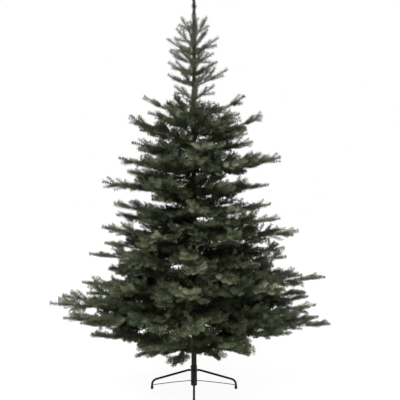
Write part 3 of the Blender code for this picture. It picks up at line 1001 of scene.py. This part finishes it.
def turned_rings(profile, sides, centre=(0.0, 0.0), dent=0.0):
    """Rings round a vertical axis, from (radius, height) pairs that run upwards on the outside."""
    rings = []
    for radius, height in profile:
        ring = []
        for k in range(sides):
            angle = 360.0 * k / sides
            point = polar(radius, angle, height)
            bump = dent * noise.noise(Vector([a * scale for a, scale in zip(point, DENT_SCALE)]))
            ring.append(polar(radius + bump, angle, height) + Vector((*centre, 0.0)))
        rings.append(ring)
    return rings


def swept_rings(points, radii, sides, profile=None):
    """Rings along points. profile gives the share of the radius at a turn and a length."""
    rings, run = [], 0.0
    across = flat_of((points[1] - points[0]).normalized(), 0.0)[0]
    for k, (point, radius) in enumerate(zip(points, radii)):
        ahead = (points[min(k + 1, len(points) - 1)] - points[max(k - 1, 0)]).normalized()
        across = (across - across.dot(ahead) * ahead).normalized()
        above = across.cross(ahead)
        run += (point - points[k - 1]).length if k else 0.0
        ring = []
        for i in range(sides):
            turn = math.tau * i / sides
            reach = radius * (profile(i / sides, run) if profile else 1.0)
            ring.append(point + reach * (math.cos(turn) * across + math.sin(turn) * above))
        rings.append(ring)
    return rings


def rounded(radius, height, edge, turn):
    """A quarter circle that rounds a rim: turn is -1 for a lower rim and 1 for an upper one."""
    arc = []
    for k in range(RIM_STEPS + 1):
        angle = math.radians(90.0 * k / RIM_STEPS)
        along, up = (math.sin(angle), math.cos(angle)) if turn < 0 else (math.cos(angle), math.sin(angle))
        arc.append((radius - edge + edge * along, height + turn * edge * (up - 1.0)))
    return arc


def pole_profile():
    """A steel tube with a rolled shoulder at each joint and a tapered tip."""
    profile = []
    ends = [start for start, _ in POLE_TUBES[1:]] + [LEADER_START]
    for (start, radius), end in zip(POLE_TUBES, ends):
        last = end == LEADER_START
        top = end if last else end - POLE_SHOULDER - 4 * LIP
        steps = round((top - start) / POLE_STEP)
        profile += [(radius, start + (top - start) * k / steps) for k in range(steps + 1)]
        if not last:
            profile += [(radius + LIP, top + LIP), (radius + LIP, top + 3 * LIP), (radius, top + 4 * LIP)]
    radius = POLE_TUBES[-1][1]
    tip_radius, tip = POLE_TIP
    steps = round((tip - LEADER_START) / POLE_STEP)
    for share in (k / steps for k in range(1, steps + 1)):
        profile.append((radius + (tip_radius - radius) * share, LEADER_START + (tip - LEADER_START) * share))
    return profile


def make_pole(paint):
    pole = skin("pole_tubes", turned_rings(pole_profile(), POLE_SIDES, dent=POLE_DENT), paint)
    stands_for(pole, "green_painted_pole", "pole")


def make_hub(paint):
    wall = [(HUB_BORE, HUB_BOTTOM), *rounded(HUB_RADIUS, HUB_BOTTOM, HUB_EDGE, -1)]
    wall += [(HUB_RADIUS, HUB_BOTTOM + (HUB_TOP - HUB_BOTTOM) * k / HUB_STEPS) for k in range(1, HUB_STEPS)]
    wall += [*rounded(HUB_RADIUS, HUB_TOP, HUB_EDGE, 1), (HUB_BORE, HUB_TOP)]
    hub = skin("stand_hub_tube", turned_rings(wall, ROUND_SIDES), paint, wrap=True)
    stands_for(hub, "black_painted_steel", "stand_hub")


def leg_points(angle):
    """Out of the hub, round a bend, down the slope, round the knee and down into the foot."""
    start = polar(HUB_RADIUS + GAP, angle, LEG_TOP)
    stub = polar(LEG_STUB, angle, LEG_TOP)
    knee = polar(LEG_REACH, angle, LEG_KNEE_HEIGHT)
    slope = (stub - knee).normalized()
    out = polar(1.0, angle, 0.0)
    steps = [k / BEND_STEPS for k in range(BEND_STEPS + 1)]
    weld = [start + out * (WELD * share) for share, _ in WELD_PROFILE]
    bend = [stub - out * (LEG_BEND * (1 - t) ** 2) - slope * (LEG_BEND * t**2) for t in steps]
    knee_bend = [knee + LEG_KNEE_RADIUS * ((1 - t) ** 2 * slope - t**2 * UP) for t in steps]
    straight = [bend[-1].lerp(knee_bend[0], k / LEG_STEPS) for k in range(1, LEG_STEPS)]
    return [*weld, *bend, *straight, *knee_bend, polar(LEG_REACH, angle, FOOT_SOLE + GAP)]


def make_leg(side, angle, paint):
    points = leg_points(angle)
    radii = [LEG_RADIUS + WELD * share for _, share in WELD_PROFILE]
    radii += [LEG_RADIUS] * (len(points) - len(radii))
    leg = skin(f"stand_leg_{side}_tube", swept_rings(points, radii, LEG_SIDES), paint)
    stands_for(leg, "black_painted_steel", f"stand_leg_{side}")


def make_foot(side, angle, rubber):
    """A ribbed rubber cap with a rounded rim, closed under the leg."""
    rib = (FOOT_HEIGHT - 2 * FOOT_PLAIN) / FOOT_RIBS
    profile = [(FOOT_MIDDLE, 0.0), *((FOOT_RADIUS - inset, height) for inset, height in FOOT_EDGE)]
    for low in (FOOT_PLAIN + rib * k for k in range(FOOT_RIBS)):
        profile += [(FOOT_RADIUS - inset, low + rib * share) for inset, share in FOOT_RIB]
    profile += rounded(FOOT_RADIUS - FOOT_RIM[0], FOOT_HEIGHT, FOOT_RIM[1], 1)
    profile += [(LEG_RADIUS + GAP, FOOT_HEIGHT), (LEG_RADIUS + GAP, FOOT_SOLE), (FOOT_MIDDLE, FOOT_SOLE)]
    centre = polar(LEG_REACH, angle, 0.0).xy
    cap = skin(f"stand_foot_{side}_cap", turned_rings(profile, FOOT_SIDES, centre), rubber)
    stands_for(cap, "foot_rubber", f"stand_foot_{side}")


def make_brace(name, angle, height, paint):
    """A wire from leg to leg, straight through the hub and slightly bowed on each side of it."""
    end = LEG_REACH - LEG_RADIUS - 2 * GAP
    points = []
    for k in range(-BRACE_STEPS, BRACE_STEPS + 1):
        reach = end * k / BRACE_STEPS
        share = max(0.0, abs(reach) - BRACE_STRAIGHT) / (end - BRACE_STRAIGHT)
        bow = BRACE_SAG * math.sin(math.pi * share)
        points.append(polar(reach, angle, height + (BRACE_END - height) * share + bow))
    wire = skin(name + "_wire", swept_rings(points, [BRACE_RADIUS] * len(points), BRACE_SIDES), paint)
    stands_for(wire, "black_painted_steel", name)


def make_screw(steel):
    """The thumbscrew: a threaded shank and a knurled head."""
    start = POLE_TUBES[0][1] + GAP
    neck = HUB_RADIUS + 2 * GAP
    reaches = [start + (neck - start) * k / SCREW_STEPS for k in range(SCREW_STEPS + 1)]
    radii = [SCREW_RADIUS] * len(reaches)
    reaches += [HUB_RADIUS + reach for reach, _ in KNOB_PROFILE]
    radii += [KNOB_RADIUS * share for _, share in KNOB_PROFILE]

    def cut(turn, run):
        if run < neck - start + GAP:
            return 1.0 - THREAD_DEPTH * ((turn + run / SCREW_PITCH) % 1.0)
        return 1.0 - KNURL_DEPTH * (round(turn * KNURLS * 2) % 2)

    points = [polar(reach, SCREW_ANGLE, SCREW_HEIGHT) for reach in reaches]
    knob = skin("stand_screw_knob", swept_rings(points, radii, KNURLS * 2, cut), steel)
    stands_for(knob, "dark_steel", "stand_screw")


def make_collar(paint):
    """The ring that carries the lowest boughs, with a rolled edge above and below."""
    low = TIERS[0].root - COLLAR_HEIGHT / 2
    high = TIERS[0].root + COLLAR_HEIGHT / 2
    inner = POLE_TUBES[0][1] + GAP
    waist = COLLAR_RADIUS - COLLAR_EDGE
    band, hollow = COLLAR_BAND
    wall = [(inner, low), *rounded(COLLAR_RADIUS, low, COLLAR_EDGE, -1)]
    wall += [(COLLAR_RADIUS, low + band), (waist, low + hollow)]
    wall += [(waist, high - hollow), (COLLAR_RADIUS, high - band)]
    wall += [*rounded(COLLAR_RADIUS, high, COLLAR_EDGE, 1), (inner, high)]
    ring = skin("bough_collar_ring", turned_rings(wall, ROUND_SIDES), paint, wrap=True)
    stands_for(ring, "black_painted_steel", "bough_collar")


def tape(turn, run):
    """Share of a bough's radius at a turn round it and a length along it."""
    return 1.0 - TAPE_EDGE * ((turn + run / TAPE_PITCH) % 1.0)


def make_low_boughs(paint):
    """The steel boughs that show between the pole and the lowest needles, wound with tape."""
    long = LOW_CORE + BOUGH_HIDDEN - COLLAR_RADIUS
    shares = [k / BOUGH_STEPS for k in range(BOUGH_STEPS + 1)]
    radii = [BOUGH_RADIUS * (1.0 + (BOUGH_TAPER - 1.0) * share) for share in shares]
    for k, (angle, _) in enumerate(tier_boughs(TIERS[0]), 1):
        points = [polar(COLLAR_RADIUS + GAP + long * share, angle, TIERS[0].root) for share in shares]
        bough = skin(f"tier_1_bough_{k}_wound", swept_rings(points, radii, BOUGH_SIDES, tape), paint)
        stands_for(bough, "bough_wire", f"tier_1_bough_{k}")


def make_stand():
    black, satin, green, rubber, steel, taped = (coat(name) for name in COATS)
    make_pole(green)
    make_hub(satin)
    make_screw(steel)
    for side, angle in SIDES.items():
        make_leg(side, angle, black)
        make_foot(side, angle, rubber)
    make_brace("stand_brace_across", 0.0, BRACE_HEIGHTS[0], black)
    make_brace("stand_brace_along", 90.0, BRACE_HEIGHTS[1], black)
    make_collar(black)
    make_low_boughs(taped)


# Stage


def make_camera():
    data = bpy.data.cameras.new("camera")
    data.lens = CAMERA_LENS
    data.sensor_width = CAMERA_SENSOR
    data.shift_x = CAMERA_SHIFT
    camera = bpy.data.objects.new("camera", data)
    camera.location = (0.0, -CAMERA_DISTANCE, CAMERA_HEIGHT)
    camera.rotation_euler = (math.radians(90.0), 0.0, 0.0)
    bpy.context.scene.collection.objects.link(camera)
    bpy.context.scene.camera = camera


def make_world():
    world = bpy.data.worlds.new("studio")
    world.use_nodes = True
    background = world.node_tree.nodes["Background"]
    background.inputs["Color"].default_value = (1.0, 1.0, 1.0, 1.0)
    background.inputs["Strength"].default_value = WORLD_STRENGTH
    bpy.context.scene.world = world


def make_sun(name, energy, softness, azimuth, elevation):
    light = bpy.data.lights.new(name, "SUN")
    light.energy = energy
    light.angle = math.radians(softness)
    lamp = bpy.data.objects.new(name, light)
    towards = polar(1.0, azimuth, math.tan(math.radians(elevation)))
    lamp.rotation_euler = towards.to_track_quat("Z", "Y").to_euler()
    bpy.context.scene.collection.objects.link(lamp)


def make_floor():
    half = FLOOR_SIZE / 2
    corners = np.array([(-half, -half, 0), (half, -half, 0), (half, half, 0), (-half, half, 0)], float)
    white = material("floor_white", FLOOR_COLOUR, FLOOR_ROUGHNESS, specular=0.0)
    shader = white.node_tree.nodes["Principled BSDF"]
    shader.inputs["Emission Color"].default_value = (1.0, 1.0, 1.0, 1.0)
    shader.inputs["Emission Strength"].default_value = FLOOR_GLOW
    floor = made_mesh("floor", corners, np.array([(0, 1, 2, 3)]), 0, [white], False)


def make_stage():
    bpy.context.scene.view_settings.view_transform = "Standard"
    make_camera()
    make_world()
    for sun in SUNS:
        make_sun(*sun)
    make_floor()


def main():
    make_stage()
    greens = [material(*look, NEEDLE_ROUGHNESS, specular=NEEDLE_SPECULAR) for look in SPRAY_COLOURS.items()]
    bark = material("bough_bark", BARK_COLOUR, BARK_ROUGHNESS, specular=BARK_SPECULAR)
    make_stand()
    groups = [grown(tier) for tier in TIERS]
    grow_leader(groups[-1])
    make_needles(groups, greens)
    make_twigs(groups, bark)


main()
